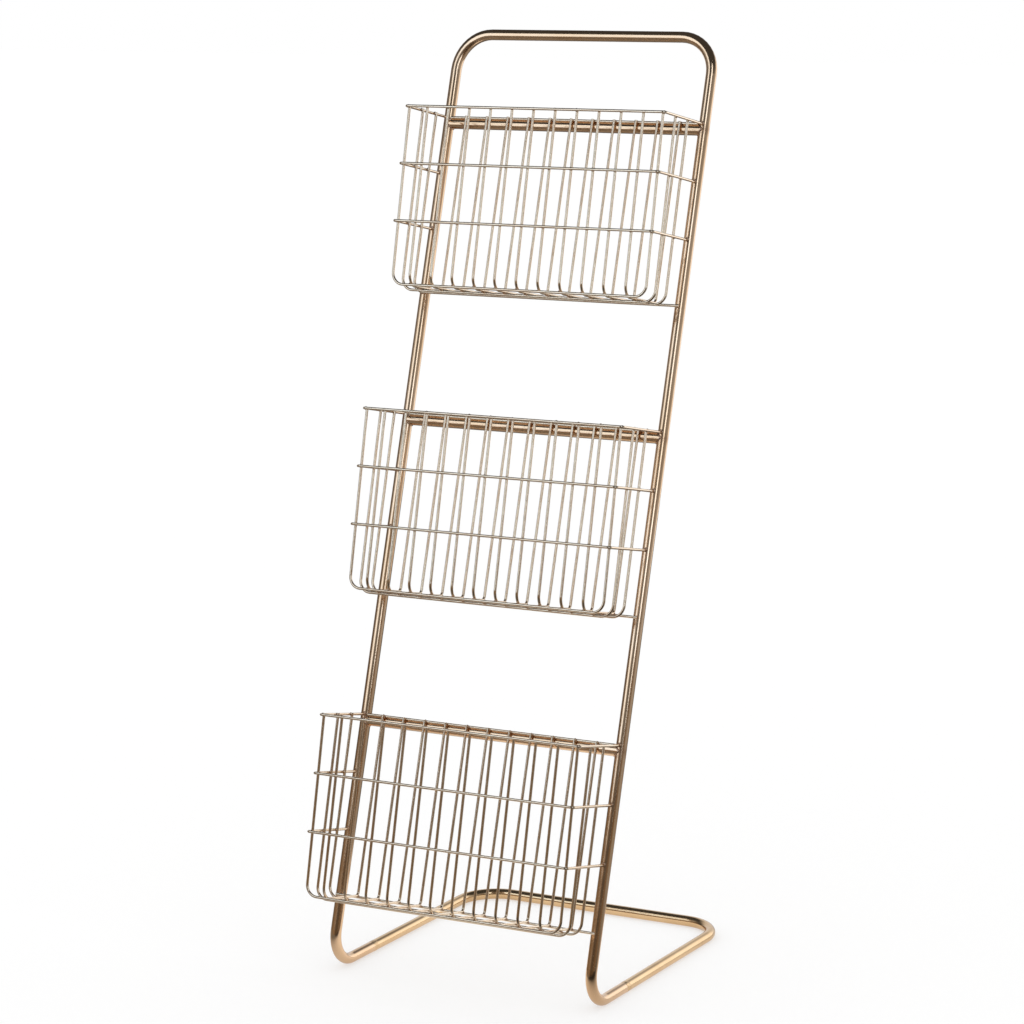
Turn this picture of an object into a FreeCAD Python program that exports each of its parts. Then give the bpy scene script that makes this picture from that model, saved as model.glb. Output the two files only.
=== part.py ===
import FreeCAD, Part
import math
import os
import Sketcher

# Three-tier magazine rack: one leaning tube hoop with feet, a floor loop, three crossbars
# and three welded wire baskets.
# Frame of the part: X across the rack, +Y towards the back, +Z up. The origin is on the
# floor, midway between the two points where the post axes would meet the floor-leg axes.

doc = FreeCAD.newDocument("magazine_rack")
sheet = doc.addObject("Spreadsheet::Sheet", "sizes")

basket_names = ["top", "middle", "bottom"]
rib_count = 11
cross_rib_count = 3

# Driving sizes, millimetres and degrees.
driving = [
    ("overall_height", 1000),  # floor to the top of the top bar
    ("post_spacing", 316),  # between the axes of the two posts
    ("lean_angle", 18),  # posts from the vertical
    ("base_depth", 321),  # post foot to the axis of the back bar
    ("tube_dia", 12),
    ("tube_wall", 1.2),
    ("top_bend", 40),  # bend radii are all to the tube or wire axis
    ("foot_bend", 30),
    ("rear_bend", 45),
    ("joint_setback", 85),  # post foot to the butt weld in each floor leg
    ("weld_gap", 0.05),  # left between any two surfaces that are welded
    ("top_drop", 94.8),  # top bar's axis down the posts to the top basket's rim line
    ("bottom_station", 278),  # bottom basket's rim line, measured up the posts
    ("wire_dia", 3),
    ("rim_depth", 94),  # post axis to the rim's front wire
    ("panel_taper", 3.6),  # front panel against the posts
    ("side_droop", 5.5),  # side wires against a square to the posts
    ("hoop_step", 63),  # rim to upper hoop and upper to lower hoop, up the posts
    ("basket_drop", 198),  # rim line to the bottom rail, down the posts
    ("rail_overrun", 2),  # bottom rail past each post axis
    ("end_pitch", 22.95),  # cross rib's leg to the nearest front-to-back rib
    ("rib_front_bend", 13),
    ("rib_back_bend", 5),
    ("cross_bend", 13),
    ("seat_angle", 50),  # where the top rail lies on the crossbar, up from the front
    ("nose_angle", 35),  # where the front cross rib lies round the ribs' front bend
]

# Sizes that follow. In a basket, "out" is forwards of the post axes and square to them, and
# "up" is along the posts, from the basket's own station.
following = [
    ("post_length", "=(overall_height - tube_dia) / cos(lean_angle)"),
    ("top_station", "=post_length - top_drop"),
    ("basket_pitch", "=(top_station - bottom_station) / %d" % (len(basket_names) - 1)),
    ("leg_top", "=foot_bend / tan(45 - lean_angle / 2) + tube_dia"),  # clear of the foot bend
    ("cope_length", "=4 * tube_dia"),  # well past the crossbar it shapes
    ("wire_step", "=wire_dia + weld_gap"),
    ("seat", "=tube_dia / 2 + wire_dia / 2 + weld_gap"),
    ("half_wire", "=wire_dia / 2"),
    ("droop", "=tan(side_droop)"),
    ("taper", "=tan(panel_taper)"),
    ("skew", "=1 + droop * taper"),
    # back rails and the crossbar behind them
    ("top_rail_out", "=seat * cos(seat_angle)"),
    ("top_rail_up", "=0 - top_rail_out * droop"),
    ("crossbar_up", "=top_rail_up - seat * sin(seat_angle)"),
    ("top_rail_inset", "=sqrt((tube_dia / 2 + weld_gap)^2 - (top_rail_out - half_wire)^2)"),
    ("bottom_rail_out", "=seat"),
    # side wires, from the post face to the front wire
    ("hoop_start", "=(tube_dia / 2 + weld_gap + half_wire * sin(side_droop)) / cos(side_droop)"),
    ("hoop_loss", "=hoop_step * taper / skew"),
    ("rim_reach", "=rim_depth / cos(side_droop)"),
    ("upper_hoop_reach", "=(rim_depth - hoop_loss) / cos(side_droop)"),
    ("lower_hoop_reach", "=(rim_depth - 2 * hoop_loss) / cos(side_droop)"),
    # front-to-back ribs: back leg, bottom run, front leg
    ("leg_back_out", "=top_rail_out + wire_step"),
    ("leg_back_up", "=top_rail_up + half_wire"),
    ("back_arc_out", "=leg_back_out + rib_back_bend"),
    ("back_arc_up", "=0 - basket_drop + sqrt((rib_back_bend + wire_step)^2"
     " - (back_arc_out - bottom_rail_out)^2)"),
    ("back_corner_up", "=back_arc_up - rib_back_bend * (cos(side_droop) - droop"
     " + droop * sin(side_droop))"),
    ("leg_front_out", "=rim_depth + half_wire * taper - wire_step / cos(panel_taper)"),
    ("leg_front_up", "=0 - rim_depth * droop + half_wire"),
    ("front_corner_out", "=(leg_front_out - (leg_front_up - back_corner_up) * taper"
     " + leg_back_out * droop * taper) / skew"),
    ("front_corner_up", "=back_corner_up - (front_corner_out - leg_back_out) * droop"),
    ("front_arc_out", "=front_corner_out - rib_front_bend"
     " * (cos(side_droop) - sin(panel_taper)) / cos(side_droop - panel_taper)"),
    ("front_arc_up", "=front_corner_up + rib_front_bend"
     " * (cos(panel_taper) + sin(side_droop)) / cos(side_droop - panel_taper)"),
    # cross ribs: inside the side wires, under the front-to-back ribs
    ("cross_half", "=post_spacing / 2 - wire_step"),
    ("rib_pitch", "=2 * (cross_half - end_pitch) / %d" % (rib_count - 1)),
    ("nose_out", "=front_arc_out + (rib_front_bend + wire_step) * sin(nose_angle)"),
    ("nose_up", "=front_arc_up - (rib_front_bend + wire_step) * cos(nose_angle)"),
]

sub_parts = []

# Each cross rib stands a share of the way back from the front leg to the posts. Its bottom run
# lies under the ribs, except at the front, where it lies round their bend.
for index in range(cross_rib_count):
    rib = "cross_%d_" % (index + 1)
    share = "%d / %d" % (index, cross_rib_count)
    low_out = "=front_corner_out - %s * (front_corner_out - tube_dia / 2)" % share
    low_up = ("=back_corner_up - (%slow_out - leg_back_out) * droop"
              " - wire_step / cos(side_droop)" % rib)
    following += [
        (rib + "top_out", "=leg_front_out - %s * (leg_front_out - tube_dia / 2)" % share),
        (rib + "top_up", "=half_wire - %stop_out * droop" % rib),
        (rib + "low_out", low_out if index else "=nose_out"),
        (rib + "low_up", low_up if index else "=nose_up"),
        (rib + "fall", "=sqrt((%stop_out - %slow_out)^2 + (%stop_up - %slow_up)^2)"
         % (rib, rib, rib, rib)),
        (rib + "tip", "=atan((%stop_out - %slow_out) / (%stop_up - %slow_up)) / 1deg"
         % (rib, rib, rib, rib)),
    ]

for row, (alias, value) in enumerate(driving + following, start=1):
    sheet.set("A%d" % row, alias)
    sheet.set("B%d" % row, str(value))
    sheet.setAlias("B%d" % row, alias)
doc.recompute()


def bind(obj, path, formula):
    obj.setExpression(path, formula)


def size(formula):
    """Present value of a formula in the sheet's aliases."""
    return float(sheet.evalExpression(formula))


def turn_about_x(obj, formula):
    """Tilts an object's frame back about X by a formula in degrees."""
    turned = FreeCAD.Rotation(FreeCAD.Vector(1, 0, 0), -size(formula))
    obj.Placement = FreeCAD.Placement(FreeCAD.Vector(), turned)
    bind(obj, "Placement.Rotation.Angle", "-(%s)" % formula)


def seat_on_posts(obj, station, out="0", up="0", across="0"):
    """Puts an object's origin at a place given in a basket's out and up."""
    bind(obj, "Placement.Base.x", across)
    bind(obj, "Placement.Base.y",
         "((%s) + (%s)) * sin(sizes.lean_angle) - (%s) * cos(sizes.lean_angle)" % (station, up, out))
    bind(obj, "Placement.Base.z",
         "sizes.tube_dia / 2 + ((%s) + (%s)) * cos(sizes.lean_angle) + (%s) * sin(sizes.lean_angle)"
         % (station, up, out))


def origin_plane(body, role):
    return [item for item in body.Origin.OriginFeatures if item.Role == role][0]


def new_sketch(body, name, role, lift=None):
    sketch = body.newObject("Sketcher::SketchObject", name)
    sketch.AttachmentSupport = [(origin_plane(body, role), "")]
    sketch.MapMode = "FlatFace"
    if lift:
        bind(sketch, "AttachmentOffset.Base.z", lift)
    return sketch


def fix_point(sketch, geo, pos, across, along):
    """Ties a point to two formulas, measured from the sketch's origin."""
    for kind, formula in (("DistanceX", across), ("DistanceY", along)):
        index = sketch.addConstraint(Sketcher.Constraint(kind, -1, 1, geo, pos, size(formula)))
        sketch.renameConstraint(index, "%s_%d" % (kind, index))
        bind(sketch, "Constraints.%s_%d" % (kind, index), formula)


def bent_path(sketch, corners, bends):
    """Draws straight runs through the corners, each inner corner rounded by its bend.

    Construction lines join the corners; the runs lie on them and the arcs are tangent.
    """
    points = [FreeCAD.Vector(size(across), size(along), 0) for across, along in corners]
    guides = []
    for start, end in zip(points, points[1:]):
        guides.append(sketch.addGeometry(Part.LineSegment(start, end), True))
    for index, guide in enumerate(guides):
        fix_point(sketch, guide, 1, *corners[index])
        if index:
            sketch.addConstraint(Sketcher.Constraint("Coincident", guides[index - 1], 2, guide, 1))
    fix_point(sketch, guides[-1], 2, *corners[-1])

    # where each arc leaves and meets the runs
    starts = [points[0]]
    ends = []
    arcs = []
    for before, corner, after, bend in zip(points, points[1:], points[2:], bends):
        radius = size(bend)
        to_before = (before - corner).normalize()
        to_after = (after - corner).normalize()
        half = to_before.getAngle(to_after) / 2
        run = radius / math.tan(half)
        middle = corner + (to_before + to_after).normalize() * (radius / math.sin(half))
        leave = corner + to_before * run
        meet = corner + to_after * run
        nose = middle + (corner - middle).normalize() * radius
        arcs.append(Part.Arc(leave, nose, meet))
        ends.append(leave)
        starts.append(meet)
    ends.append(points[-1])
    runs = [sketch.addGeometry(Part.LineSegment(start, end), False)
            for start, end in zip(starts, ends)]
    sketch.addConstraint(Sketcher.Constraint("Coincident", runs[0], 1, guides[0], 1))
    sketch.addConstraint(Sketcher.Constraint("Coincident", runs[-1], 2, guides[-1], 2))
    for index, (arc, bend) in enumerate(zip(arcs, bends)):
        geo = sketch.addGeometry(arc, False)
        leave = ends[index]
        first = 1 if sketch.getPoint(geo, 1).distanceToPoint(leave) < 1e-3 else 2
        sketch.addConstraint(Sketcher.Constraint("PointOnObject", runs[index], 2, guides[index]))
        sketch.addConstraint(
            Sketcher.Constraint("PointOnObject", runs[index + 1], 1, guides[index + 1]))
        sketch.addConstraint(Sketcher.Constraint("Tangent", runs[index], 2, geo, first))
        sketch.addConstraint(Sketcher.Constraint("Tangent", geo, 3 - first, runs[index + 1], 1))
        fixed = sketch.addConstraint(Sketcher.Constraint("Radius", geo, size(bend)))
        sketch.renameConstraint(fixed, "bend_%d" % index)
        bind(sketch, "Constraints.bend_%d" % index, bend)


def ring_sketch(body, name, role, lift, centre, outer, inner=None):
    """Cross-section of a wire, or of a tube when an inner radius is given."""
    sketch = new_sketch(body, name, role, lift)
    middle = FreeCAD.Vector(size(centre[0]), size(centre[1]), 0)
    for label, radius in (("outer", outer), ("inner", inner)):
        if radius is None:
            continue
        circle = Part.Circle(middle, FreeCAD.Vector(0, 0, 1), size(radius))
        geo = sketch.addGeometry(circle, False)
        fix_point(sketch, geo, 3, *centre)
        index = sketch.addConstraint(Sketcher.Constraint("Radius", geo, size(radius)))
        sketch.renameConstraint(index, label)
        bind(sketch, "Constraints.%s" % label, radius)
    return sketch


def sweep(body, name, path, section):
    pipe = body.newObject("PartDesign::AdditivePipe", name)
    pipe.Profile = section
    pipe.Spine = (path, [])
    body.Tip = pipe
    return pipe


def new_body(name):
    body = doc.addObject("PartDesign::Body", name)
    body.Label = name
    sub_parts.append(body)
    return body


def bent_wire(name, path_role, corners, bends, section_role, lift, centre):
    """One wire of a basket, swept along a flat bent path."""
    body = new_body(name)
    path = new_sketch(body, name + "_path", path_role)
    bent_path(path, corners, bends)
    section = ring_sketch(body, name + "_section", section_role, lift, centre,
                          "sizes.wire_dia / 2")
    sweep(body, name + "_sweep", path, section)
    return body


def station(tier):
    """Distance up the posts to a basket's rim line, counted from the top basket."""
    return "sizes.top_station - %d * sizes.basket_pitch" % tier


tube_radius = "sizes.tube_dia / 2"
bore_radius = "sizes.tube_dia / 2 - sizes.tube_wall"
left = "-sizes.post_spacing / 2"
right = "sizes.post_spacing / 2"


def add_upright_frame():
    """Hoop of two posts and the top bar, with each foot bent back into a short floor leg."""
    body = new_body("upright_frame")
    turn_about_x(body, "sizes.lean_angle")
    seat_on_posts(body, "0")
    hoop = new_sketch(body, "hoop_path", "XZ_Plane")
    bent_path(hoop,
              [(left, "sizes.leg_top"), (left, "sizes.post_length"),
               (right, "sizes.post_length"), (right, "sizes.leg_top")],
              ["sizes.top_bend", "sizes.top_bend"])
    section = ring_sketch(body, "hoop_section", "XY_Plane", "sizes.leg_top", (left, "0"),
                          tube_radius, bore_radius)
    sweep(body, "hoop_sweep", hoop, section)
    for side, across in (("left", left), ("right", right)):
        leg = new_sketch(body, side + "_leg_path", "YZ_Plane", across)
        bent_path(leg,
                  [("0", "sizes.leg_top"), ("0", "0"),
                   ("sizes.joint_setback * cos(sizes.lean_angle)",
                    "sizes.joint_setback * sin(sizes.lean_angle)")],
                  ["sizes.foot_bend"])
        section = ring_sketch(body, side + "_leg_section", "XY_Plane", "sizes.leg_top",
                              (across, "0"), tube_radius, bore_radius)
        sweep(body, side + "_leg_sweep", leg, section)


def add_base_loop():
    """Floor loop behind the feet, butt-welded to the two short legs."""
    body = new_body("base_loop")
    bind(body, "Placement.Base.z", tube_radius)
    start = "sizes.joint_setback + sizes.weld_gap"
    path = new_sketch(body, "loop_path", "XY_Plane")
    bent_path(path,
              [(left, start), (left, "sizes.base_depth"), (right, "sizes.base_depth"),
               (right, start)],
              ["sizes.rear_bend", "sizes.rear_bend"])
    section = ring_sketch(body, "loop_section", "XZ_Plane", "-(%s)" % start, (left, "0"),
                          tube_radius, bore_radius)
    sweep(body, "loop_sweep", path, section)


def cylinder_across(name, radius, length, tier, out, up):
    """A cylinder along X, centred on the rack, at a place in a basket's out and up."""
    rod = doc.addObject("Part::Cylinder", name)
    rod.Placement = FreeCAD.Placement(FreeCAD.Vector(),
                                      FreeCAD.Rotation(FreeCAD.Vector(0, 1, 0), 90))
    bind(rod, "Radius", radius)
    bind(rod, "Height", length)
    seat_on_posts(rod, station(tier), out, up, "-(%s) / 2" % length)
    return rod


def add_crossbar(tier, basket):
    """Tube between the posts behind the basket's top, its ends coped to them."""
    name = basket + "_crossbar"
    blank = cylinder_across(name + "_blank", tube_radius, "sizes.post_spacing", tier, "0",
                            "sizes.crossbar_up")
    tools = [cylinder_across(name + "_bore", bore_radius, "sizes.post_spacing", tier, "0",
                             "sizes.crossbar_up")]
    for side, across in (("left", left), ("right", right)):
        cope = doc.addObject("Part::Cylinder", "%s_%s_cope" % (name, side))
        turn_about_x(cope, "sizes.lean_angle")
        bind(cope, "Radius", tube_radius + " + sizes.weld_gap")
        bind(cope, "Height", "sizes.cope_length")
        seat_on_posts(cope, station(tier), "0", "sizes.crossbar_up - sizes.cope_length / 2",
                      across)
        tools.append(cope)
    cutters = doc.addObject("Part::MultiFuse", name + "_cutters")
    cutters.Shapes = tools
    crossbar = doc.addObject("Part::Cut", name)
    crossbar.Base = blank
    crossbar.Tool = cutters
    sub_parts.append(crossbar)


def add_back_rails(tier, basket):
    """Two straight wires: one on the crossbar's shoulder, one across the posts' front faces."""
    name = basket + "_basket_back_rails"
    top_rail = cylinder_across(name + "_upper", "sizes.half_wire",
                               "(sizes.post_spacing - 2 * sizes.top_rail_inset)", tier,
                               "sizes.top_rail_out", "sizes.top_rail_up")
    bottom_rail = cylinder_across(name + "_lower", "sizes.half_wire",
                                  "(sizes.post_spacing + 2 * sizes.rail_overrun)", tier,
                                  "sizes.bottom_rail_out", "-sizes.basket_drop")
    rails = doc.addObject("Part::Compound", name)
    rails.Links = [top_rail, bottom_rail]
    sub_parts.append(rails)


def add_hoop(tier, name, level, reach):
    """Three-sided wire, welded to both posts and bent tightly round the front corners."""
    body = bent_wire(name, "XY_Plane",
                     [(left, "-sizes.hoop_start"), (left, "-sizes.%s" % reach),
                      (right, "-sizes.%s" % reach), (right, "-sizes.hoop_start")],
                     ["sizes.wire_step", "sizes.wire_step"],
                     "XZ_Plane", "sizes.hoop_start", (left, "0"))
    turn_about_x(body, "sizes.lean_angle - sizes.side_droop")
    seat_on_posts(body, station(tier), "0", level)


def add_rib(tier, name, across):
    """Front-to-back rib: up the back, along the bottom and up the inside of the front."""
    body = bent_wire(name, "YZ_Plane",
                     [("-sizes.leg_back_out", "sizes.leg_back_up"),
                      ("-sizes.leg_back_out", "sizes.back_corner_up"),
                      ("-sizes.front_corner_out", "sizes.front_corner_up"),
                      ("-sizes.leg_front_out", "sizes.leg_front_up")],
                     ["sizes.rib_back_bend", "sizes.rib_front_bend"],
                     "XY_Plane", "sizes.leg_back_up", ("0", "-sizes.leg_back_out"))
    turn_about_x(body, "sizes.lean_angle")
    seat_on_posts(body, station(tier), across=across)


def add_cross_rib(tier, name, rib):
    """Side-to-side rib inside the side wires; rib is the prefix of its sizes in the sheet."""
    fall = "-sizes.%sfall" % rib
    body = bent_wire(name, "XZ_Plane",
                     [("-sizes.cross_half", "0"), ("-sizes.cross_half", fall),
                      ("sizes.cross_half", fall), ("sizes.cross_half", "0")],
                     ["sizes.cross_bend", "sizes.cross_bend"],
                     "XY_Plane", None, ("-sizes.cross_half", "0"))
    turn_about_x(body, "sizes.lean_angle - sizes.%stip" % rib)
    seat_on_posts(body, station(tier), "sizes.%stop_out" % rib, "sizes.%stop_up" % rib)


add_upright_frame()
add_base_loop()
for tier, basket in enumerate(basket_names):
    add_crossbar(tier, basket)
    add_back_rails(tier, basket)
    prefix = basket + "_basket_"
    add_hoop(tier, prefix + "rim", "0", "rim_reach")
    add_hoop(tier, prefix + "upper_hoop", "-sizes.hoop_step", "upper_hoop_reach")
    add_hoop(tier, prefix + "lower_hoop", "-2 * sizes.hoop_step", "lower_hoop_reach")
    for index in range(rib_count):
        offset = index - (rib_count - 1) // 2
        add_rib(tier, "%srib_%02d" % (prefix, index + 1), "%d * sizes.rib_pitch" % offset)
    for index in range(cross_rib_count):
        add_cross_rib(tier, "%scross_rib_%d" % (prefix, index + 1), "cross_%d_" % (index + 1))
doc.recompute()

faults = []
for obj in doc.Objects:
    if "Invalid" in obj.State or "Error" in obj.State:
        faults.append("%s is %s" % (obj.Name, obj.State))
for part in sub_parts:
    if part.Shape.isNull() or not part.Shape.isValid():
        faults.append("%s has no valid shape" % part.Name)
if faults:
    raise RuntimeError("; ".join(faults))

os.makedirs("parts", exist_ok=True)
for part in sub_parts:
    part.Shape.exportStep("parts/%s.step" % part.Label)
print("%d sub-parts written" % len(sub_parts))
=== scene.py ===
import math

import bmesh
import bpy
from mathutils import Matrix, Vector


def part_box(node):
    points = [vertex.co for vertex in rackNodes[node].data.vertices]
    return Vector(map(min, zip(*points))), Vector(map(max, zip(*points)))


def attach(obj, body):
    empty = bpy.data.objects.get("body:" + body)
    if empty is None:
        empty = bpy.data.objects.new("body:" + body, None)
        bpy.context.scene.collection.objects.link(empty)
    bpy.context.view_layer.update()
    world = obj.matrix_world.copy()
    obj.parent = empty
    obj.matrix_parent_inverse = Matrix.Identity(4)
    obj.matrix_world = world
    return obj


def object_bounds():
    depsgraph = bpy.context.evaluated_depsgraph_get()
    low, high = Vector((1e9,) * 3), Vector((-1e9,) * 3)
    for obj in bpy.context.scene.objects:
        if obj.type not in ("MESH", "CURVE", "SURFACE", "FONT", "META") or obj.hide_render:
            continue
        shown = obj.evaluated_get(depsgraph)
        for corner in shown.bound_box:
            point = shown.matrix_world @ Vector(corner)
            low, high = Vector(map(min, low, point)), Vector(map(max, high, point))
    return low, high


# Three-tier magazine rack: a leaning tube hoop on a floor loop, with three welded wire
# baskets. Metres; X across the rack, +Y towards the back, +Z up.

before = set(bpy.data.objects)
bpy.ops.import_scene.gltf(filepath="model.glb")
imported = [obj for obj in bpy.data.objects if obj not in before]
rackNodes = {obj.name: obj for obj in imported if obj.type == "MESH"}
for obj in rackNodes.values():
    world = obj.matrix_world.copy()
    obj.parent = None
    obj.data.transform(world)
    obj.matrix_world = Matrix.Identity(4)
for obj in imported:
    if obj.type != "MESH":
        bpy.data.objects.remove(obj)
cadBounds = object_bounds()
scene = bpy.context.scene
print("frame loaded,", len(rackNodes), "nodes")

basketNames = ["top", "middle", "bottom"]
hoopNames = ["rim", "upper_hoop", "lower_hoop"]
ribCount = 11
crossRibCount = 3


# camera

viewSettings = {
    "place": (1.856466, -3.075478, 1.209594),
    "turn": 30.008,  # degrees, from straight at the rack's front
    "down": 10.85,
    "tilt": -1.132,
    "lens": 124.0,
}


def addCamera(s):
    turn, down, tilt = (math.radians(s[k]) for k in ("turn", "down", "tilt"))
    ahead = Vector((-math.sin(turn) * math.cos(down), math.cos(turn) * math.cos(down), -math.sin(down)))
    level = Vector((math.cos(turn), math.sin(turn), 0))
    upright = level.cross(ahead)
    right = level * math.cos(tilt) + upright * math.sin(tilt)
    up = upright * math.cos(tilt) - level * math.sin(tilt)
    data = bpy.data.cameras.new("rackCamera")
    data.lens = s["lens"]
    data.sensor_width = 36
    data.clip_end = 60
    camera = bpy.data.objects.new("rackCamera", data)
    scene.collection.objects.link(camera)
    place = Matrix((right, up, -ahead)).transposed().to_4x4()
    place.translation = s["place"]
    camera.matrix_world = place
    scene.camera = camera


addCamera(viewSettings)
scene.view_settings.view_transform = "Standard"
print("camera set")


# helpers for node trees

def addNode(tree, kind, ins=None, **settings):
    node = tree.nodes.new(kind)
    for key, value in settings.items():
        setattr(node, key, value)
    for key, value in (ins or {}).items():
        if isinstance(value, bpy.types.NodeSocket):
            tree.links.new(value, node.inputs[key])
        else:
            node.inputs[key].default_value = value
    return node


def math2(tree, operation, a, b=0.0, c=None):
    ins = {0: a, 1: b} if c is None else {0: a, 1: b, 2: c}
    return addNode(tree, "ShaderNodeMath", ins, operation=operation).outputs[0]


def vector2(tree, operation, a, b):
    node = addNode(tree, "ShaderNodeVectorMath", {0: a, 1: b}, operation=operation)
    return node.outputs["Value" if operation in ("DOT_PRODUCT", "LENGTH") else "Vector"]


def remap(tree, value, low, high, toLow=0.0, toHigh=1.0, smooth=False):
    node = addNode(tree, "ShaderNodeMapRange",
                   {"Value": value, "From Min": low, "From Max": high, "To Min": toLow, "To Max": toHigh})
    if smooth:
        node.interpolation_type = "SMOOTHSTEP"
    return node.outputs["Result"]


def blendColours(tree, factor, a, b, blend="MIX"):
    return addNode(tree, "ShaderNodeMix", {0: factor, 6: a, 7: b}, data_type="RGBA", blend_type=blend).outputs[2]


def noise(tree, vector, scale, detail=2.0, roughness=0.5):
    return addNode(tree, "ShaderNodeTexNoise",
                   {"Vector": vector, "Scale": scale, "Detail": detail, "Roughness": roughness}).outputs["Fac"]


def newGroup(name, inputs, outputs):
    tree = bpy.data.node_groups.new(name, "ShaderNodeTree")
    for label, kind, value in inputs:
        socket = tree.interface.new_socket(label, in_out="INPUT", socket_type="NodeSocket" + kind)
        if value is not None:
            socket.default_value = value
    for label, kind in outputs:
        tree.interface.new_socket(label, in_out="OUTPUT", socket_type="NodeSocket" + kind)
    return tree, tree.nodes.new("NodeGroupInput").outputs, tree.nodes.new("NodeGroupOutput").inputs


# effects shared by the plated metals

def makePlatingTone():
    # slow drifts of plating colour, polishing haze, fine pits and a fine ripple in the height
    tree, given, out = newGroup(
        "platingTone",
        [("Vector", "Vector", None), ("Pale", "Color", (0.8, 0.6, 0.4, 1)), ("Deep", "Color", (0.6, 0.4, 0.2, 1)),
         ("Drift Scale", "Float", 14.0), ("Haze Scale", "Float", 60.0), ("Drift", "Float", 0.5),
         ("Smooth", "Float", 0.1), ("Hazy", "Float", 0.2)],
        [("Color", "Color"), ("Roughness", "Float"), ("Height", "Float")])
    drift = noise(tree, given["Vector"], given["Drift Scale"], 3, 0.6)
    haze = noise(tree, given["Vector"], given["Haze Scale"], 4, 0.65)
    pits = noise(tree, given["Vector"], 1500, 2, 0.5)
    peel = noise(tree, given["Vector"], 260, 2, 0.5)
    driftMask = math2(tree, "MULTIPLY", remap(tree, drift, 0.32, 0.68), given["Drift"])
    toned = blendColours(tree, driftMask, given["Pale"], given["Deep"])
    pitMask = remap(tree, pits, 0.66, 0.74)
    pitTone = math2(tree, "MULTIPLY", pitMask, 0.35)
    tree.links.new(blendColours(tree, pitTone, toned, given["Deep"]), out["Color"])
    hazeMask = remap(tree, haze, 0.35, 0.7)
    spread = math2(tree, "SUBTRACT", given["Hazy"], given["Smooth"])
    rough = math2(tree, "MULTIPLY_ADD", hazeMask, spread, given["Smooth"])
    tree.links.new(math2(tree, "MULTIPLY_ADD", pitMask, 0.15, rough), out["Roughness"])
    height = math2(tree, "MULTIPLY_ADD", peel, 0.6, math2(tree, "MULTIPLY", pitMask, -0.4))
    tree.links.new(height, out["Height"])
    return tree


def makeDrawnLines():
    # faint lines left by drawing and polishing, long along one direction
    tree, given, out = newGroup(
        "drawnLines", [("Vector", "Vector", None), ("Along", "Vector", (0, 0, 1)), ("Fine", "Float", 900.0),
                       ("Slow", "Float", 9.0)], [("Mask", "Float")])
    length = vector2(tree, "DOT_PRODUCT", given["Vector"], given["Along"])
    run = addNode(tree, "ShaderNodeVectorMath", {0: given["Along"], "Scale": length}, operation="SCALE").outputs[0]
    rest = vector2(tree, "SUBTRACT", given["Vector"], run)
    quick = addNode(tree, "ShaderNodeVectorMath", {0: rest, "Scale": given["Fine"]}, operation="SCALE").outputs[0]
    slow = addNode(tree, "ShaderNodeVectorMath", {0: run, "Scale": given["Slow"]}, operation="SCALE").outputs[0]
    fine = noise(tree, vector2(tree, "ADD", quick, slow), 1.0, 3, 0.6)
    tree.links.new(remap(tree, fine, 0.4, 0.75), out["Mask"])
    return tree


def makeWeldStations():
    # 1 near each weld up the posts, fading to 0; welds repeat at a pitch along the posts
    tree, given, out = newGroup(
        "weldStations",
        [("Vector", "Vector", None), ("Lean", "Vector", (0, 0.3, 0.95)), ("First", "Float", 0.3),
         ("Pitch", "Float", 0.333), ("Reach", "Float", 0.01)], [("Mask", "Float")])
    along = vector2(tree, "DOT_PRODUCT", given["Vector"], given["Lean"])
    turns = math2(tree, "DIVIDE", math2(tree, "SUBTRACT", along, given["First"]), given["Pitch"])
    nearest = math2(tree, "ABSOLUTE", math2(tree, "SUBTRACT", turns, math2(tree, "ROUND", turns)))
    away = math2(tree, "MULTIPLY", nearest, given["Pitch"])
    wander = noise(tree, given["Vector"], 180, 2, 0.6)
    frayed = math2(tree, "MULTIPLY_ADD", wander, 0.006, away)
    tree.links.new(remap(tree, frayed, given["Reach"], 0.0, smooth=True), out["Mask"])
    return tree


platingTone = makePlatingTone()
drawnLines = makeDrawnLines()
weldStations = makeWeldStations()


def place(tree, group, **ins):
    named = {key.replace("_", " "): value for key, value in ins.items()}
    return addNode(tree, "ShaderNodeGroup", named, node_tree=group).outputs


# plated metals

def boxMiddle(node):
    low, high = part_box(node)
    return (Vector(low) + Vector(high)) / 2


postDirection = (boxMiddle("top_crossbar") - boxMiddle("bottom_crossbar")).normalized()
crossbarStations = [boxMiddle(basket + "_crossbar").dot(postDirection) for basket in basketNames]
basketPitch = (crossbarStations[0] - crossbarStations[2]) / 2

tubeFinish = {
    "pale": (0.84, 0.58, 0.37, 1),
    "deep": (0.73, 0.46, 0.25, 1),
    "stain": (0.42, 0.22, 0.12, 1),
    "driftScale": 11.0,
    "hazeScale": 45.0,
    "drift": 0.75,
    "smooth": 0.1,
    "hazy": 0.2,
    "lineDepth": 0.14,
    "lineFine": 700.0,
    "bump": 0.012,
}
loopTone = {"pale": (0.83, 0.58, 0.33, 1), "deep": (0.70, 0.44, 0.22, 1)}

# the wires' pale and deep plating colours are paler than the tubes': partly the plating's own colour, partly a
# painted sheen standing in for the bright reflections along the thin wires
wireFinishAndPaintedSheen = {
    "pale": (0.94, 0.76, 0.55, 1),
    "deep": (0.82, 0.58, 0.38, 1),
    "driftScale": 16.0,
    "hazeScale": 90.0,
    "drift": 0.8,
    "smooth": 0.12,
    "hazy": 0.24,
    "lineDepth": 0.3,
    "lineFine": 1400.0,
    "bump": 0.012,
}

weldFinish = {
    "pale": (0.74, 0.5, 0.34, 1),
    "deep": (0.5, 0.3, 0.18, 1),
    "driftScale": 90.0,
    "hazeScale": 300.0,
    "drift": 0.9,
    "smooth": 0.2,
    "hazy": 0.42,
    "lineDepth": 0.0,
    "bump": 0.25,
}

groundTone = {"driftScale": 120.0, "hazeScale": 420.0, "smooth": 0.16, "hazy": 0.4, "lineDepth": 0.6, "bump": 0.1}


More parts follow.
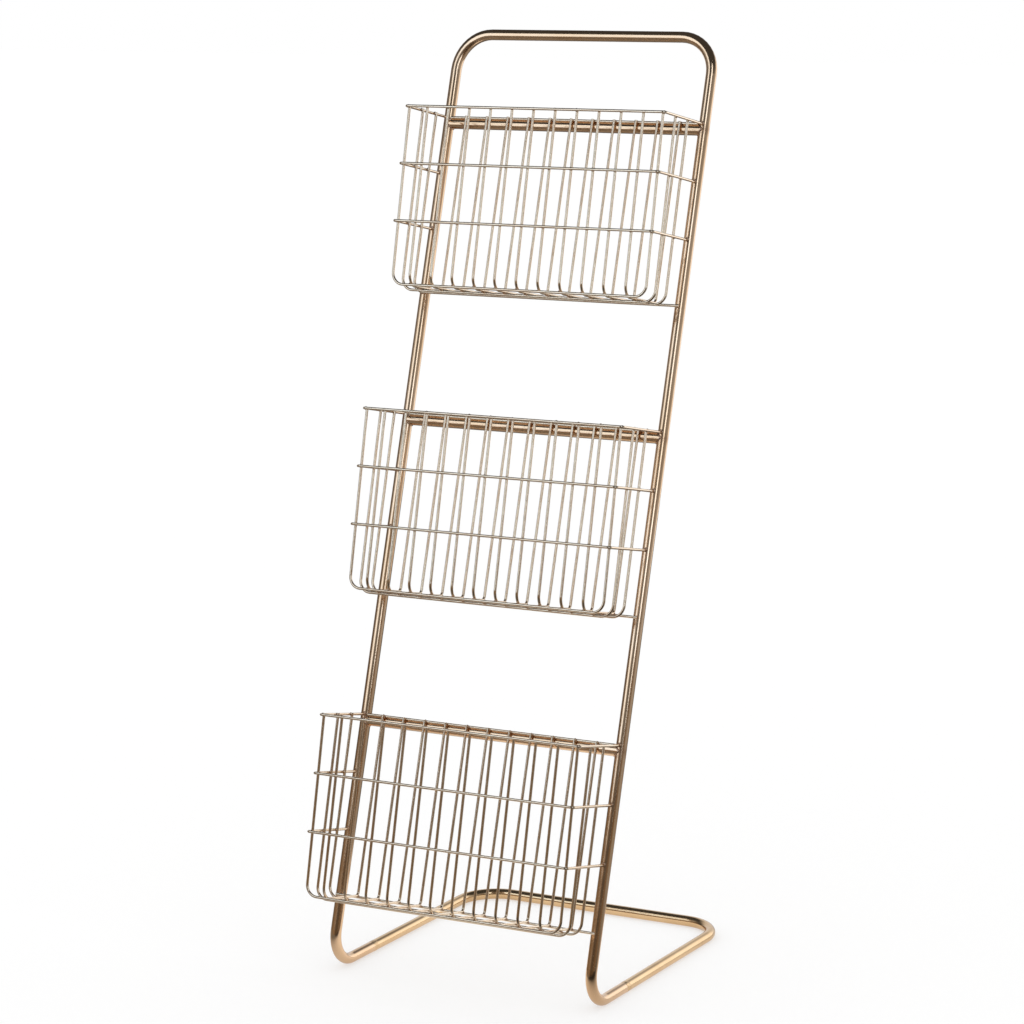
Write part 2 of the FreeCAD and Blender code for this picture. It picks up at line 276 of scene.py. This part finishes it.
def platedMetal(name, s, along=(0, 0, 1), stainReach=0.0, stainFirst=0.0):
    material = bpy.data.materials.new(name)
    material.use_nodes = True
    tree = material.node_tree
    shader = tree.nodes["Principled BSDF"]
    shader.inputs["Metallic"].default_value = 1.0
    where = tree.nodes.new("ShaderNodeTexCoord").outputs["Object"]
    tone = place(tree, platingTone, Vector=where, Pale=s["pale"], Deep=s["deep"], Drift_Scale=s["driftScale"],
                 Haze_Scale=s["hazeScale"], Drift=s["drift"], Smooth=s["smooth"], Hazy=s["hazy"])
    colour, rough, height = tone["Color"], tone["Roughness"], tone["Height"]
    if s["lineDepth"]:
        lines = place(tree, drawnLines, Vector=where, Along=along, Fine=s["lineFine"])["Mask"]
        height = math2(tree, "MULTIPLY_ADD", lines, s["lineDepth"], height)
        rough = math2(tree, "MULTIPLY_ADD", lines, 0.02, rough)
    if stainReach:
        stain = place(tree, weldStations, Vector=where, Lean=postDirection, First=stainFirst,
                      Pitch=basketPitch, Reach=stainReach)["Mask"]
        colour = blendColours(tree, math2(tree, "MULTIPLY", stain, 0.55), colour, s["stain"])
        rough = math2(tree, "MULTIPLY_ADD", stain, 0.14, rough)
    bump = addNode(tree, "ShaderNodeBump", {"Strength": s["bump"], "Distance": 0.0004, "Height": height})
    tree.links.new(colour, shader.inputs["Base Color"])
    tree.links.new(rough, shader.inputs["Roughness"])
    tree.links.new(bump.outputs["Normal"], shader.inputs["Normal"])
    return material


postMetal = platedMetal("platedPostTube", tubeFinish, postDirection, 0.012, crossbarStations[0])
loopMetal = platedMetal("platedFloorTube", {**tubeFinish, **loopTone}, (0, 1, 0))
barMetal = platedMetal("platedCrossTube", tubeFinish, (1, 0, 0))
uprightWireMetal = platedMetal("platedRibWire", wireFinishAndPaintedSheen, postDirection)
acrossWireMetal = platedMetal("platedHoopWire", wireFinishAndPaintedSheen, (1, 0, 0))
weldMetal = platedMetal("platedWeld", weldFinish)
groundWeldMetal = platedMetal("platedGroundWeld", {**tubeFinish, **loopTone, **groundTone}, (0, 1, 0))


def finishNode(name, material):
    data = rackNodes[name].data
    data.materials.clear()
    data.materials.append(material)


finishNode("upright_frame", postMetal)
finishNode("base_loop", loopMetal)
for basket in basketNames:
    finishNode(basket + "_crossbar", barMetal)
    finishNode(basket + "_basket_back_rails", acrossWireMetal)
    for hoop in hoopNames:
        finishNode(basket + "_basket_" + hoop, acrossWireMetal)
    for index in range(ribCount):
        finishNode("%s_basket_rib_%02d" % (basket, index + 1), uprightWireMetal)
    for index in range(crossRibCount):
        finishNode("%s_basket_cross_rib_%d" % (basket, index + 1), uprightWireMetal)
print("metals made")


# places of the welds, read from the nodes' boxes

wireRadius = (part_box("top_basket_rib_01")[1][0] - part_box("top_basket_rib_01")[0][0]) / 2
tubeRadius = (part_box("top_crossbar")[1][2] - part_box("top_crossbar")[0][2]) / 2
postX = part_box("upright_frame")[1][0] - tubeRadius
outwards = Vector((0, -postDirection.z, postDirection.y))  # forwards and square to the posts


def postPoint(point):
    # foot of a square dropped from a point to the plane of the post axes
    footing = Vector((0, 0, tubeRadius))
    return footing + postDirection * (Vector(point) - footing).dot(postDirection)


def frontWire(node):
    # middle of a hoop's front run, which is its lowest in Y and highest in Z
    low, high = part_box(node)
    return Vector((0, low[1] + wireRadius, high[2] - wireRadius))


def meet(pointA, alongA, pointB, alongB):
    # where two lines of the YZ plane cross
    gap = pointB - pointA
    turn = alongA.y * alongB.z - alongA.z * alongB.y
    return pointA + alongA * ((gap.y * alongB.z - gap.z * alongB.y) / turn)


def basketPlan(basket):
    prefix = basket + "_basket_"
    fronts = [frontWire(prefix + hoop) for hoop in hoopNames]
    low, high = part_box(prefix + "back_rails")
    plan = {
        "prefix": prefix,
        "ribs": [sum(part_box("%srib_%02d" % (prefix, i + 1))[e][0] for e in (0, 1)) / 2 for i in range(ribCount)],
        "fronts": fronts,
        "panel": (fronts[0] - fronts[2]).normalized(),
        "topRail": Vector((0, high[1] - wireRadius, high[2] - wireRadius)),
        "bottomRail": Vector((0, low[1] + wireRadius, low[2] + wireRadius)),
        "crossLow": [],
        "crossHigh": [],
    }
    for index in range(crossRibCount):
        low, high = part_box("%scross_rib_%d" % (prefix, index + 1))
        plan["crossLow"].append(Vector((0, low[1] + wireRadius, low[2] + wireRadius)))
        plan["crossHigh"].append(Vector((0, high[1] - wireRadius, high[2])))
    plan["sideHalf"] = high[0] - wireRadius
    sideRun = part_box(prefix + "rim")
    plan["hoopSlope"] = (Vector((0, sideRun[1][1], sideRun[0][2] + wireRadius)) - fronts[0]).normalized()
    return plan


basketPlans = {basket: basketPlan(basket) for basket in basketNames}


# geometry node trees

def newGeometryTree(name, inputs):
    tree = bpy.data.node_groups.new(name, "GeometryNodeTree")
    tree.interface.new_socket("Geometry", in_out="INPUT", socket_type="NodeSocketGeometry")
    for label, kind in inputs:
        tree.interface.new_socket(label, in_out="INPUT", socket_type="NodeSocket" + kind)
    tree.interface.new_socket("Geometry", in_out="OUTPUT", socket_type="NodeSocketGeometry")
    return tree, tree.nodes.new("NodeGroupInput").outputs, tree.nodes.new("NodeGroupOutput").inputs


def makeSpotWelds():
    # a small flattened bead at each point, its short axis along the point's facing
    tree, given, out = newGeometryTree(
        "spotWelds", [("Bead Radius", "Float"), ("Flatness", "Float"), ("Unevenness", "Float"), ("Seed", "Int"),
                      ("Material", "Material")])
    bead = addNode(tree, "GeometryNodeMeshUVSphere", {"Segments": 8, "Rings": 5, "Radius": given["Bead Radius"]})
    squash = addNode(tree, "ShaderNodeCombineXYZ", {"X": 1.0, "Y": 1.0, "Z": given["Flatness"]})
    flat = addNode(tree, "GeometryNodeTransform", {"Geometry": bead.outputs["Mesh"], "Scale": squash.outputs[0]})
    facing = addNode(tree, "GeometryNodeInputNamedAttribute", {"Name": "facing"}, data_type="FLOAT_VECTOR")
    turned = addNode(tree, "FunctionNodeAlignRotationToVector", {"Vector": facing.outputs["Attribute"]}, axis="Z")
    least = addNode(tree, "ShaderNodeMath", {0: 1.0, 1: given["Unevenness"]}, operation="SUBTRACT")
    most = addNode(tree, "ShaderNodeMath", {0: 1.0, 1: given["Unevenness"]}, operation="ADD")
    vary = addNode(tree, "FunctionNodeRandomValue",
                   {2: least.outputs[0], 3: most.outputs[0], "Seed": given["Seed"]}, data_type="FLOAT")
    beads = addNode(tree, "GeometryNodeInstanceOnPoints",
                    {"Points": given["Geometry"], "Instance": flat.outputs["Geometry"],
                     "Rotation": turned.outputs["Rotation"], "Scale": vary.outputs[1]})
    real = addNode(tree, "GeometryNodeRealizeInstances", {"Geometry": beads.outputs["Instances"]})
    smooth = addNode(tree, "GeometryNodeSetShadeSmooth", {"Geometry": real.outputs["Geometry"]})
    done = addNode(tree, "GeometryNodeSetMaterial", {"Geometry": smooth.outputs["Geometry"],
                                                     "Material": given["Material"]})
    tree.links.new(done.outputs["Geometry"], out["Geometry"])
    return tree


def makeSeamWelds():
    # a rippled bead along each closed line
    tree, given, out = newGeometryTree(
        "seamWelds", [("Bead Radius", "Float"), ("Ripple", "Float"), ("Ripple Scale", "Float"), ("Sides", "Int"),
                      ("Material", "Material")])
    line = addNode(tree, "GeometryNodeMeshToCurve", {"Mesh": given["Geometry"]})
    ripple = addNode(tree, "ShaderNodeTexNoise", {"Scale": given["Ripple Scale"], "Detail": 1.0})
    swing = addNode(tree, "ShaderNodeMapRange",
                    {"Value": ripple.outputs["Fac"], "From Min": 0.3, "From Max": 0.7, "To Min": 0.0, "To Max": 1.0})
    thin = addNode(tree, "ShaderNodeMath", {0: swing.outputs["Result"], 1: given["Ripple"], 2: 1.0},
                   operation="MULTIPLY_ADD")
    thick = addNode(tree, "GeometryNodeSetCurveRadius", {"Curve": line.outputs["Curve"], "Radius": thin.outputs[0]})
    circle = addNode(tree, "GeometryNodeCurvePrimitiveCircle", {"Resolution": given["Sides"],
                                                                "Radius": given["Bead Radius"]})
    bead = addNode(tree, "GeometryNodeCurveToMesh", {"Curve": thick.outputs["Curve"],
                                                     "Profile Curve": circle.outputs["Curve"]})
    smooth = addNode(tree, "GeometryNodeSetShadeSmooth", {"Geometry": bead.outputs["Mesh"]})
    real = addNode(tree, "GeometryNodeRealizeInstances", {"Geometry": smooth.outputs["Geometry"]})
    done = addNode(tree, "GeometryNodeSetMaterial", {"Geometry": real.outputs["Geometry"],
                                                     "Material": given["Material"]})
    tree.links.new(done.outputs["Geometry"], out["Geometry"])
    return tree


spotWelds = makeSpotWelds()
seamWelds = makeSeamWelds()


def addPiece(name, mesh):
    shell = bmesh.new()
    shell.from_mesh(mesh)
    bmesh.ops.recalc_face_normals(shell, faces=shell.faces)
    shell.to_mesh(mesh)
    shell.free()
    piece = bpy.data.objects.new(name, mesh)
    scene.collection.objects.link(piece)
    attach(piece, "root")
    return piece


def growPiece(name, mesh, tree, values):
    # runs a tree on points or lines and keeps the result as one plain mesh
    seed = bpy.data.objects.new(name + "_seed", mesh)
    scene.collection.objects.link(seed)
    modifier = seed.modifiers.new("grow", "NODES")
    modifier.node_group = tree
    named = {item.name: item.identifier for item in tree.interface.items_tree if item.in_out == "INPUT"}
    for label, value in values.items():
        modifier[named[label]] = value
    bpy.context.view_layer.update()
    grown = bpy.data.meshes.new_from_object(seed.evaluated_get(bpy.context.evaluated_depsgraph_get()))
    grown.name = name
    bpy.data.objects.remove(seed)
    return addPiece(name, grown)


def pointMesh(name, points):
    mesh = bpy.data.meshes.new(name)
    mesh.from_pydata([p for p, _ in points], [], [])
    facing = mesh.attributes.new("facing", "FLOAT_VECTOR", "POINT")
    facing.data.foreach_set("vector", [c for _, f in points for c in f])
    return mesh


def loopMesh(name, loops):
    verts, edges = [], []
    for loop in loops:
        first = len(verts)
        verts += loop
        edges += [(first + i, first + (i + 1) % len(loop)) for i in range(len(loop))]
    mesh = bpy.data.meshes.new(name)
    mesh.from_pydata(verts, edges, [])
    return mesh


# spot welds where the basket wires cross

spotSettings = {
    "beadRadius": 0.00205,
    "flatness": 0.42,
    "unevenness": 0.14,
    "backAngle": 48.3,  # where a rib's back bend lies on the bottom rail, up from the front
    "noseAngle": 35.0,  # where the front cross rib lies round the ribs' front bend
}


def outUp(angle):
    turn = math.radians(angle)
    return outwards * math.cos(turn) + postDirection * math.sin(turn)


def crossingPoints(plan, s):
    points = []

    def mark(x, centre, towards):
        spot = centre + towards * wireRadius
        points.append(((x, spot.y, spot.z), towards))

    inwards = Vector((0, plan["panel"].z, -plan["panel"].y))
    over = Vector((0, -plan["hoopSlope"].z, plan["hoopSlope"].y))
    if over.z < 0:
        over = -over
    turn = math.radians(s["noseAngle"])
    nose = postDirection * math.cos(turn) - outwards * math.sin(turn)
    for x in plan["ribs"]:
        for front in plan["fronts"]:
            mark(x, front, inwards)
        mark(x, plan["topRail"], outwards)
        mark(x, plan["bottomRail"], outUp(s["backAngle"]))
        mark(x, plan["crossLow"][0], nose)
        for low in plan["crossLow"][1:]:
            mark(x, low, over)
    for low, high in zip(plan["crossLow"], plan["crossHigh"]):
        for front in plan["fronts"]:
            spot = meet(front, plan["hoopSlope"], low, high - low)
            for side in (-1, 1):
                points.append(((side * (plan["sideHalf"] + wireRadius), spot.y, spot.z), (side, 0, 0)))
    # where the bottom rail lies on the posts
    for side in (-1, 1):
        mark(side * postX, plan["bottomRail"], -outwards)
    return points


for order, basket in enumerate(basketNames):
    points = crossingPoints(basketPlans[basket], spotSettings)
    growPiece(basket + "_basket_spot_welds", pointMesh(basket + "Crossings", points), spotWelds,
              {"Bead Radius": spotSettings["beadRadius"], "Flatness": spotSettings["flatness"],
               "Unevenness": spotSettings["unevenness"], "Seed": order + 1, "Material": weldMetal})
print("spot welds grown")


# weld beads round the ends that meet the posts

seamSettings = {
    "steps": 40,
    "barBead": 0.00105,
    "barLift": 0.0001,
    "wireBead": 0.00075,
    "wireLift": 0.0002,
    "ripple": 0.35,
    "rippleScale": 420.0,
}


def roundPost(side, foot, axis, across, radius, steps, lift):
    # line where a rod running along axis enters a post; foot is where their axes meet
    loop = []
    for i in range(steps):
        turn = 2 * math.pi * i / steps
        offAcross = (radius + lift) * math.cos(turn)
        offUp = (radius + lift) * math.sin(turn)
        reach = math.sqrt(max((tubeRadius + lift * 0.6) ** 2 - offAcross ** 2, 0))
        spot = foot + across * offAcross + postDirection * offUp + axis * reach
        loop.append((spot.x + side * postX, spot.y, spot.z))
    return loop


def postSeams(plan, basket, s):
    bars, wires = [], []
    middle = boxMiddle(basket + "_crossbar")
    for side in (-1, 1):
        inner = Vector((-side, 0, 0))
        bars.append(roundPost(side, postPoint(middle), inner, outwards, tubeRadius, s["steps"], s["barLift"]))
        for front in plan["fronts"]:
            foot = meet(front, plan["hoopSlope"], Vector((0, 0, tubeRadius)), postDirection)
            wires.append(roundPost(side, foot, outwards, inner, wireRadius, s["steps"] // 2, s["wireLift"]))
    return bars, wires


allBars = []
for basket in basketNames:
    bars, wires = postSeams(basketPlans[basket], basket, seamSettings)
    allBars += bars
    growPiece(basket + "_basket_end_welds", loopMesh(basket + "Ends", wires), seamWelds,
              {"Bead Radius": seamSettings["wireBead"], "Ripple": seamSettings["ripple"],
               "Ripple Scale": seamSettings["rippleScale"], "Sides": 8, "Material": weldMetal})
growPiece("crossbar_welds", loopMesh("crossbarEnds", allBars), seamWelds,
          {"Bead Radius": seamSettings["barBead"], "Ripple": seamSettings["ripple"],
           "Ripple Scale": seamSettings["rippleScale"], "Sides": 10, "Material": weldMetal})
print("end welds grown")


# ground welds where the short legs meet the floor loop

legWeld = {
    "reach": 0.0048,  # each way from the joint
    "rise": 0.00022,
    "waver": 0.32,
    "around": 56,
    "steps": 8,
    "sunk": 0.00006,  # how far the bead's edges lie under the tube's face
    "root": 0.0004,  # how far its hidden underside does
}


def legWeldMesh(s):
    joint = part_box("base_loop")[0][1]
    reachX, floorLevel = postX + tubeRadius, cadBounds[0][2]
    verts, faces = [], []
    column = s["steps"] + 3
    for side in (-1, 1):
        first = len(verts)
        for i in range(s["around"]):
            turn = 2 * math.pi * i / s["around"]
            waver = math.sin(3 * turn + side) * 0.5 + math.sin(7 * turn + 1.3) * 0.3 + math.sin(13 * turn) * 0.2
            profile = []
            for j in range(s["steps"] + 1):
                t = 2 * j / s["steps"] - 1
                lump = 0.75 + 0.25 * math.sin(5 * turn + 4 * t + side)
                profile.append((joint + t * s["reach"] * (1 + s["waver"] * waver),
                                tubeRadius - s["sunk"] + s["rise"] * (1 - t * t) * lump))
            profile += [(profile[-1][0], tubeRadius - s["root"]), (profile[0][0], tubeRadius - s["root"])]
            for y, radius in profile:
                x = side * postX + radius * math.cos(turn)
                verts.append((max(-reachX, min(reachX, x)), y, max(floorLevel, tubeRadius + radius * math.sin(turn))))
        for i in range(s["around"]):
            here, after = first + i * column, first + (i + 1) % s["around"] * column
            for j in range(column):
                k = (j + 1) % column
                faces.append((here + j, after + j, after + k, here + k))
    mesh = bpy.data.meshes.new("floor_leg_welds")
    mesh.from_pydata(verts, [], faces)
    mesh.materials.append(groundWeldMetal)
    mesh.polygons.foreach_set("use_smooth", [True] * len(faces))
    return mesh


addPiece("floor_leg_welds", legWeldMesh(legWeld))
print("leg welds made")


# floor and studio

studio = {
    "floorColour": (0.48, 0.48, 0.48, 1),
    "floorLift": 0.54,
    "floorHalf": 14.0,
    "middleY": 0.16,  # the reflected studio is centred on the rack's middle
    "worldLight": 0.97,
    "shellRadius": 2.4,
    "shellHeight": 2.9,
    "shellSteps": 96,
    "backOpening": 1.25,  # height of the pale backdrop above the floor
    "farFloorHeight": 0.001,
    "nearFloor": (0.12, 0.4),  # where the far floor's glow starts and is at full strength
    "farFloorGlow": [(-180, 0.12), (-120, 0.2), (-95, 0.28), (-66, 0.3), (-50, 0.2), (-5, 0.2), (12, 0.03),
                     (75, 0.03), (100, 0.3), (140, 0.35), (180, 0.12)],
    "wallGlow": [(-180, 0.5), (-155, 0.55), (-128, 0.5), (-105, 0.07), (-85, 0.07), (-70, 0.2), (-20, 0.25),
                 (-5, 0.18), (8, 0.1), (40, 0.1), (66, 0.16), (85, 0.2), (108, 0.26), (130, 0.38), (146, 0.95),
                 (160, 0.9), (180, 0.5)],
    "wallTint": (1.0, 1.06, 1.16, 1),
    "lowTint": (1.25, 0.95, 0.66, 1),
    "ceilingGlow": 0.035,
    "cardTint": (1.0, 1.22, 1.54, 1),
    "cards": [  # turn from the front (degrees), half width, low, high, distance, strength
        (-28, 0.50, 0.66, 2.15, 1.6, 1.25),
        (50, 0.30, 0.72, 2.3, 1.6, 1.7),
    ],
}


def emptyMaterial(name):
    material = bpy.data.materials.new(name)
    material.use_nodes = True
    tree = material.node_tree
    tree.nodes.clear()
    return tree, material


def showSurface(tree, shader):
    addNode(tree, "ShaderNodeOutputMaterial", {"Surface": shader.outputs[0]})


def seenRays(tree):
    # 1 for rays that show a surface, 0 for those that light one
    rays = tree.nodes.new("ShaderNodeLightPath").outputs
    seen = math2(tree, "MAXIMUM", rays["Is Camera Ray"], rays["Is Glossy Ray"])
    return math2(tree, "MAXIMUM", seen, rays["Is Transmission Ray"])


def stageMesh(name, verts, faces, material):
    mesh = bpy.data.meshes.new(name)
    mesh.from_pydata(verts, [], faces)
    mesh.materials.append(material)
    thing = bpy.data.objects.new(name, mesh)
    scene.collection.objects.link(thing)
    return thing


def onlyInReflections(thing):
    thing.visible_camera = False
    thing.visible_diffuse = False
    thing.visible_shadow = False
    thing.visible_transmission = False
    thing.visible_volume_scatter = False


def squareCorners(half, middleY, height):
    return [(x * half, middleY + y * half, height) for x, y in ((-1, -1), (1, -1), (1, 1), (-1, 1))]


def addFloor(s):
    tree, material = emptyMaterial("studioFloor")
    diffuse = addNode(tree, "ShaderNodeBsdfDiffuse", {"Color": s["floorColour"]})
    strength = math2(tree, "MULTIPLY", seenRays(tree), s["floorLift"])
    lift = addNode(tree, "ShaderNodeEmission", {"Strength": strength})
    showSurface(tree, addNode(tree, "ShaderNodeAddShader", {0: diffuse.outputs[0], 1: lift.outputs[0]}))
    stageMesh("floor", squareCorners(s["floorHalf"], 0, 0), [(0, 1, 2, 3)], material)


def addWorld(s):
    world = bpy.data.worlds.new("studioWorld")
    world.use_nodes = True
    scene.world = world
    tree = world.node_tree
    background = tree.nodes["Background"]
    background.inputs["Color"].default_value = (1, 1, 1, 1)
    tree.links.new(remap(tree, seenRays(tree), 0.0, 1.0, s["worldLight"], 1.0), background.inputs["Strength"])


def turnRamp(tree, turn, stops):
    # brightness by the turn from the front, the stops in degrees
    ramp = addNode(tree, "ShaderNodeValToRGB", {"Fac": remap(tree, turn, -math.pi, math.pi)})
    points = ramp.color_ramp.elements
    while len(points) < len(stops):
        points.new(0.5)
    for point, (angle, glow) in zip(points, stops):
        point.position = (angle + 180) / 360
        point.color = (glow, glow, glow, 1)
    return ramp.outputs["Color"]


def objectParts(tree):
    where = tree.nodes.new("ShaderNodeTexCoord").outputs["Object"]
    return addNode(tree, "ShaderNodeSeparateXYZ", {0: where}).outputs


def addShell(s):
    # dim studio walls and ceiling, for reflections only
    tree, material = emptyMaterial("studioWalls")
    x, y, z = objectParts(tree)
    turn = math2(tree, "ARCTAN2", x, math2(tree, "MULTIPLY", y, -1))
    ramp = turnRamp(tree, turn, s["wallGlow"])
    over = remap(tree, z, s["backOpening"] + 0.9, s["backOpening"] - 0.2, smooth=True)
    dim = blendColours(tree, over, (s["ceilingGlow"],) * 3 + (1,), ramp)
    # the front wall is paler above the rack's middle, and warm below it
    ahead = remap(tree, y, 0.4, -0.6, smooth=True)
    raised = math2(tree, "MULTIPLY", remap(tree, z, 0.8, 2.0, -0.25, 1.0), remap(tree, z, 2.7, 2.2, smooth=True))
    paler = math2(tree, "MULTIPLY_ADD", math2(tree, "MULTIPLY", ahead, raised), 2.4, 1.5)
    warmth = math2(tree, "MULTIPLY", ahead, remap(tree, z, 1.1, 0.5))
    tint = blendColours(tree, warmth, s["wallTint"], s["lowTint"])
    tinted = blendColours(tree, 1.0, dim, tint, "MULTIPLY")
    glow = addNode(tree, "ShaderNodeEmission", {"Color": tinted, "Strength": paler})
    showSurface(tree, glow)
    steps = s["shellSteps"]
    verts, faces = [], []
    for i in range(steps):
        angle = 2 * math.pi * i / steps
        spot = (s["shellRadius"] * math.sin(angle), s["middleY"] - s["shellRadius"] * math.cos(angle))
        verts += [(*spot, 0.0), (*spot, s["shellHeight"])]
    for i in range(steps):
        j = (i + 1) % steps
        faces.append((2 * i, 2 * j, 2 * j + 1, 2 * i + 1))
    faces.append(tuple(2 * i + 1 for i in range(steps)))
    onlyInReflections(stageMesh("studio_walls", verts, faces, material))


def addFarFloor(s):
    tree, material = emptyMaterial("studioFarFloor")
    x, y, _ = objectParts(tree)
    forward = math2(tree, "SUBTRACT", s["middleY"], y)
    flat = addNode(tree, "ShaderNodeCombineXYZ", {"X": x, "Y": forward})
    away = vector2(tree, "LENGTH", flat.outputs[0], (0, 0, 0))
    cover = remap(tree, away, *s["nearFloor"], smooth=True)
    ramp = turnRamp(tree, math2(tree, "ARCTAN2", x, forward), s["farFloorGlow"])
    glow = addNode(tree, "ShaderNodeEmission", {"Color": ramp})
    clear = tree.nodes.new("ShaderNodeBsdfTransparent")
    showSurface(tree, addNode(tree, "ShaderNodeMixShader", {0: cover, 1: clear.outputs[0], 2: glow.outputs[0]}))
    corners = squareCorners(s["shellRadius"], s["middleY"], s["farFloorHeight"])
    onlyInReflections(stageMesh("studio_far_floor", corners, [(0, 1, 2, 3)], material))


def addCards(s):
    for number, (turn, halfWidth, low, high, distance, strength) in enumerate(s["cards"]):
        tree, material = emptyMaterial("card%d" % (number + 1))
        glow = addNode(tree, "ShaderNodeEmission", {"Color": s["cardTint"], "Strength": strength})
        showSurface(tree, glow)
        angle = math.radians(turn)
        middle = Vector((math.sin(angle) * distance, s["middleY"] - math.cos(angle) * distance, 0))
        along = Vector((math.cos(angle), math.sin(angle), 0)) * halfWidth
        corners = [middle + along * side + Vector((0, 0, height))
                   for side, height in ((-1, low), (1, low), (1, high), (-1, high))]
        onlyInReflections(stageMesh("studio_card_%d" % (number + 1), corners, [(0, 1, 2, 3)], material))


addFloor(studio)
addWorld(studio)
addShell(studio)
addFarFloor(studio)
addCards(studio)
print("studio built")
